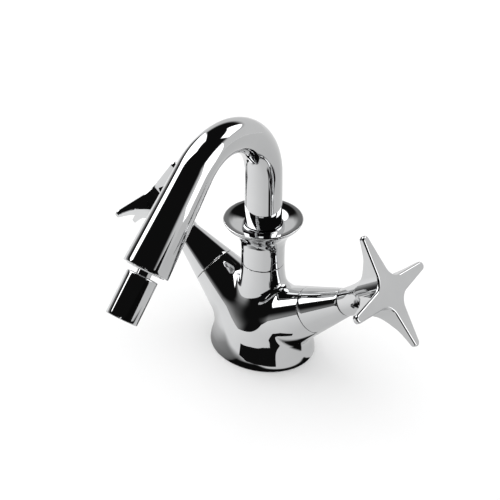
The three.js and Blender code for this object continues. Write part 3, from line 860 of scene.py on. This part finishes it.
# ------------------------------------------------------------------ aerator and its ball joint
OUT = outlet_matrix()
BALL_R, BALL_IN, STEM_R = 6.5, 7.0, 3.5
H0, H1 = 2.8, 2.8 + 21.3
HR = 7.65
R = BALL_R + 0.3
seat = [(math.sqrt(R * R - d * d), -BALL_IN + d) for d in np.linspace(0, 3.4, 12)]
nut = [(9.3, -BALL_IN)] + fillet([[9.3, -3.0], [9.3, 0.1, 0.25, 4], [8.9, 0.5, 0.2, 3], [6.9, 0.5, 0.3, 4], [6.2, -1.6]], False)
nut = nut + [(5.95, -3.2)] + seat[::-1]
ob = turned_piece("ball_joint_ring", nut, 112, "spout", CHROME_SMALL, ["joint_nut"], place=OUT)
cut(ob, [block_cutter((-12, -0.7, -0.5), (12, 0.7, 2), OUT)], keep_shade(ob))

pts = []
a0, a1 = math.asin(1.8 / BALL_R), math.pi - math.asin(STEM_R / BALL_R) - 0.12
for a in np.linspace(a0, a1, 40):
    pts.append((BALL_R * math.sin(a), -BALL_IN - BALL_R * math.cos(a)))
pts += [(3.95, -BALL_IN + 5.42), (3.65, -BALL_IN + 5.95), (STEM_R, -BALL_IN + 6.7), (STEM_R, 0.5), (STEM_R, 2.0), (STEM_R, 3.6),
        (2.9, 4.2), (2.9, 7.6), (1.8, 7.6), (1.8, 2.0), (1.8, -5.0)]
turned_piece("ball_and_stem", pts, 96, "aerator_head", CHROME_SMALL, ["ball_stem"], place=OUT, sharp=40)

house = fillet([[3.8, H0, 0.15, 3], [HR, H0, 0.75, 7], [HR, H1, 0.4, 6], [6.5, H1, 0.12, 3], [6.3, H1 - 0.5], [6.3, H0 + 3.2],
                [3.2, H0 + 3.2], [3.2, H0 + 2.0], [3.8, H0 + 1.4]])
turned_piece("aerator_sleeve", densify(house, 1.4), 144, "aerator_head", CHROME, ["aerator_housing"], place=OUT, sharp=35)

# ------------------------------------------------------------------ finishes of the pieces kept from the frame
FINISH = {"rubber": RUBBER, "ceramic": CERAMIC, "white_plastic": ACETAL, "steel": STEEL, "brass": BRASS, "chrome": CHROME_SMALL}
slots = {p["node"]: p["material_slot"] for p in frame["record"]["subparts"]}
for node, ob in frame["nodes"].items():
    mt = FINISH[slots[node]]
    if not ob.material_slots:
        ob.data.materials.append(mt)
    for ms in ob.material_slots:
        ms.material = mt

# ------------------------------------------------------------------ studio: table, cards and light
def stage_mesh(name, verts, faces, mat):
    me = bpy.data.meshes.new(name)
    me.from_pydata(verts, [], faces)
    me.materials.append(mat)
    ob = bpy.data.objects.new(name, me)
    bpy.context.scene.collection.objects.link(ob)
    return ob


table, nt, bs = nodes_of("table_white")
nt.links.new(ramp(nt, noise(nt, 3.0, 2.0), [(0.3, (0.885, 0.885, 0.885)), (0.7, (0.9, 0.9, 0.9))]), bs.inputs["Base Color"])
bs.inputs["Roughness"].default_value = 0.9
bs.inputs["Specular IOR Level"].default_value = 0.1
stage_mesh("table", [(-4, -4, -0.0003), (4, -4, -0.0003), (4, 4, -0.0003), (-4, 4, -0.0003)], [(0, 1, 2, 3)], table)


def emitter(name, level):
    mt = bpy.data.materials.new(name)
    mt.use_nodes = True
    nt = mt.node_tree
    nt.nodes.clear()
    em = nt.nodes.new("ShaderNodeEmission")
    em.inputs["Color"].default_value = (level, level, level, 1)
    em.inputs["Strength"].default_value = 1.0
    out = nt.nodes.new("ShaderNodeOutputMaterial")
    nt.links.new(em.outputs["Emission"], out.inputs["Surface"])
    return mt


def card(name, corners, level):
    """Upright studio card, seen only in reflections. corners: (azimuth, distance, height), degrees and metres."""
    v = [(r * math.cos(a * RAD), r * math.sin(a * RAD), z) for a, r, z in corners]
    ob = stage_mesh(name, v, [tuple(range(len(v)))], emitter(name, level))
    ob.visible_camera = ob.visible_shadow = ob.visible_diffuse = False
    return ob


CARDS = [
    ("card_right", [(-2, 0.9, 0.68), (-2, 0.9, 0.30), (10, 0.9, 0.08), (16, 0.9, 0.0), (31, 0.9, 0.0), (31, 0.9, 0.66)], 2.2),
    ("flag_front", [(-66, 0.30, 0.0), (-12, 0.30, 0.0), (-12, 0.30, 0.16), (-66, 0.30, 0.16)], 0.004),
]
for c in CARDS:
    card(*c)

# sheet over the table, seen only in reflections, with painted floor light and shade: a painted shadow in front of the
# foot, darker in a narrow band out to the right
def smooth(x, a, b):
    t = np.clip((np.asarray(x, float) - a) / (b - a), 0, 1)
    return t * t * (3 - 2 * t)


def painted_floor_shading(name, xy, faces, level, z):
    """Lies on the table, seen only in reflections, with painted floor light and shade. One brightness per vertex."""
    mt = emitter(name, 1.0)
    nt = mt.node_tree
    at = nt.nodes.new("ShaderNodeAttribute")
    at.attribute_name = "level"
    nt.links.new(at.outputs["Fac"], next(n for n in nt.nodes if n.type == "EMISSION").inputs["Strength"])
    ob = stage_mesh(name, [(x / 1000, y / 1000, z) for x, y in xy], faces, mt)
    ob.data.attributes.new("level", "FLOAT", "POINT").data.foreach_set("value", [float(v) for v in level])
    ob.visible_camera = ob.visible_shadow = ob.visible_diffuse = False


def grid_faces(m, n):
    return [(i * n + j, (i + 1) * n + j, (i + 1) * n + j + 1, i * n + j + 1) for i in range(m - 1) for j in range(n - 1)]


def painted_shadow_level(x, y):
    """Painted shadow: black wedge right in front, turning grey and then light towards the left."""
    right = (x - 36) + (y + 2) * -0.5          # its straight right-hand edge
    dark = smooth(-right, -1.5, 1.5)
    left = np.interp(x, [-58, -48, -40, -26, -14, -8, -4.5, -3], [1.0, 0.9, 0.7, 0.33, 0.24, 0.2, 0.13, 0.006])
    fade = smooth(-y, 36, 46)
    v = np.maximum(left, 1 - dark)
    v = np.where(y > 4, 1.0, v)
    return v + (1 - v) * fade


ga, gr = np.meshgrid(np.arange(-180, 181, 2.0), np.concatenate([np.arange(8, 100, 1.5), np.arange(100, 300, 6.0),
                                                                  np.geomspace(300, 4000, 14)]), indexing="ij")
gx, gy = gr * np.cos(ga * RAD), gr * np.sin(ga * RAD)
# painted floor light: the table's brightness, given by azimuth
base = np.interp(ga, [-180, -145, -120, -100, -80, -65, -45, -30, 0, 30, 60, 90, 130, 180],
                 [0.97, 0.97, 0.92, 0.86, 0.80, 0.76, 0.70, 0.69, 0.66, 0.63, 0.66, 0.75, 0.90, 0.97])
# darker in a narrow band from 105 mm out, to the right
strip = smooth(gr, 105, 125) * smooth(ga, -26, -21) * smooth(-ga, 8, 13)
painted_floor_shading("painted_floor_shading", np.column_stack([gx.ravel(), gy.ravel()]), grid_faces(*ga.shape),
      (base * painted_shadow_level(gx, gy) * (1 - 0.994 * strip)).ravel(), 0.0001)

# low dark strip in front of the foot, painted shade seen only in reflections: it darkens the foot and leaves the
# column light
painted_foot_shade = [(31, -24), (22, -35), (10, -41), (-3, -42)]
ob = stage_mesh("painted_foot_shade", [(x / 1000, y / 1000, z) for x, y in painted_foot_shade for z in (0.0003, 0.008)],
                [(2 * i, 2 * i + 2, 2 * i + 3, 2 * i + 1) for i in range(len(painted_foot_shade) - 1)], emitter("painted_foot_shade", 0.006))
ob.visible_camera = ob.visible_shadow = ob.visible_diffuse = False

world = bpy.data.worlds.new("studio")
bpy.context.scene.world = world
world.use_nodes = True
wt = world.node_tree
wt.nodes.clear()


def math_node(op, a, b=None, c=None):
    n = wt.nodes.new("ShaderNodeMath")
    n.operation = op
    for i, x in enumerate((a, b, c)):
        if x is None:
            continue
        if isinstance(x, (int, float)):
            n.inputs[i].default_value = float(x)
        else:
            wt.links.new(x, n.inputs[i])
    return n.outputs[0]


def edge(v, a, b):
    """0 at a, 1 at b, smooth between."""
    m = wt.nodes.new("ShaderNodeMapRange")
    m.interpolation_type = "SMOOTHSTEP"
    m.inputs["From Min"].default_value, m.inputs["From Max"].default_value = (a, b) if a < b else (b, a)
    m.inputs["To Min"].default_value, m.inputs["To Max"].default_value = (0, 1) if a < b else (1, 0)
    wt.links.new(v, m.inputs["Value"])
    return m.outputs["Result"]


tc = wt.nodes.new("ShaderNodeTexCoord")
sep = wt.nodes.new("ShaderNodeSeparateXYZ")
wt.links.new(tc.outputs["Generated"], sep.inputs[0])
X, Y, Z = sep.outputs
EL = math_node("MULTIPLY", math_node("ARCSINE", Z), 1 / RAD)
AZ = math_node("MULTIPLY", math_node("ARCTAN2", Y, X), 1 / RAD)
AZB = math_node("MULTIPLY", math_node("ARCTAN2", math_node("MULTIPLY", Y, -1), math_node("MULTIPLY", X, -1)), 1 / RAD)


def window(v, lo, hi, soft):
    return math_node("MULTIPLY", edge(v, lo - soft, lo + soft), edge(v, hi + soft, hi - soft))


def box_light(level, az, a0, a1, asoft, e0, e1, esoft0, esoft1=None):
    w = window(az, a0, a1, asoft)
    esoft1 = esoft0 if esoft1 is None else esoft1
    e = math_node("MULTIPLY", edge(EL, e0 - esoft0, e0 + esoft0), edge(EL, e1 + esoft1, e1 - esoft1))
    return math_node("MULTIPLY", math_node("MULTIPLY", w, e), level)


PANELS = [
    # level, azimuth input, from, to, softness, elevation from, to, softness below, above
    (0.70, AZ, -8, 152, 5, -40, 29.5, 1, 6),         # pale sweep behind
    (0.42, AZB, -30, 64, 12, -40, 7, 1, 8),        # glow of the table's far edge, left
    (3.2, AZB, -29, 32, 2.5, 23, 72, 2, 3),        # large softbox, left
    (3.0, AZ, 43, 86, 2.5, 30, 50, 2, 2),          # softbox behind, right
    (1.6, AZ, -80, -52, 3, 29.5, 32, 0.6),         # slim strip, front
]
total = math_node("ADD", 0.006, 0.0)
for p in PANELS:
    total = math_node("ADD", total, box_light(*p))
lp = wt.nodes.new("ShaderNodeLightPath")
amb = math_node("MAXIMUM", lp.outputs["Is Camera Ray"], lp.outputs["Is Diffuse Ray"])
AMBIENT = 1.12
level = math_node("ADD", math_node("MULTIPLY", total, math_node("SUBTRACT", 1.0, amb)), math_node("MULTIPLY", amb, AMBIENT))
comb = wt.nodes.new("ShaderNodeCombineColor")
for i in range(3):
    wt.links.new(level, comb.inputs[i])
bg = wt.nodes.new("ShaderNodeBackground")
wt.links.new(comb.outputs[0], bg.inputs["Color"])
wo = wt.nodes.new("ShaderNodeOutputWorld")
wt.links.new(bg.outputs[0], wo.inputs["Surface"])
bpy.context.scene.view_settings.view_transform = "Standard"

# ------------------------------------------------------------------ camera
cam = bpy.data.cameras.new("camera")
cam.lens, cam.sensor_width = 72.0, 36.0
cam.clip_start, cam.clip_end = 0.02, 30.0
cob = bpy.data.objects.new("camera", cam)
bpy.context.scene.collection.objects.link(cob)
cob.location = (0.26459, -0.34590, 0.34155)
fwd = Vector((-0.5200, 0.6583, -0.5443)).normalized()
cob.rotation_euler = fwd.to_track_quat("-Z", "Y").to_euler()
bpy.context.scene.camera = cob
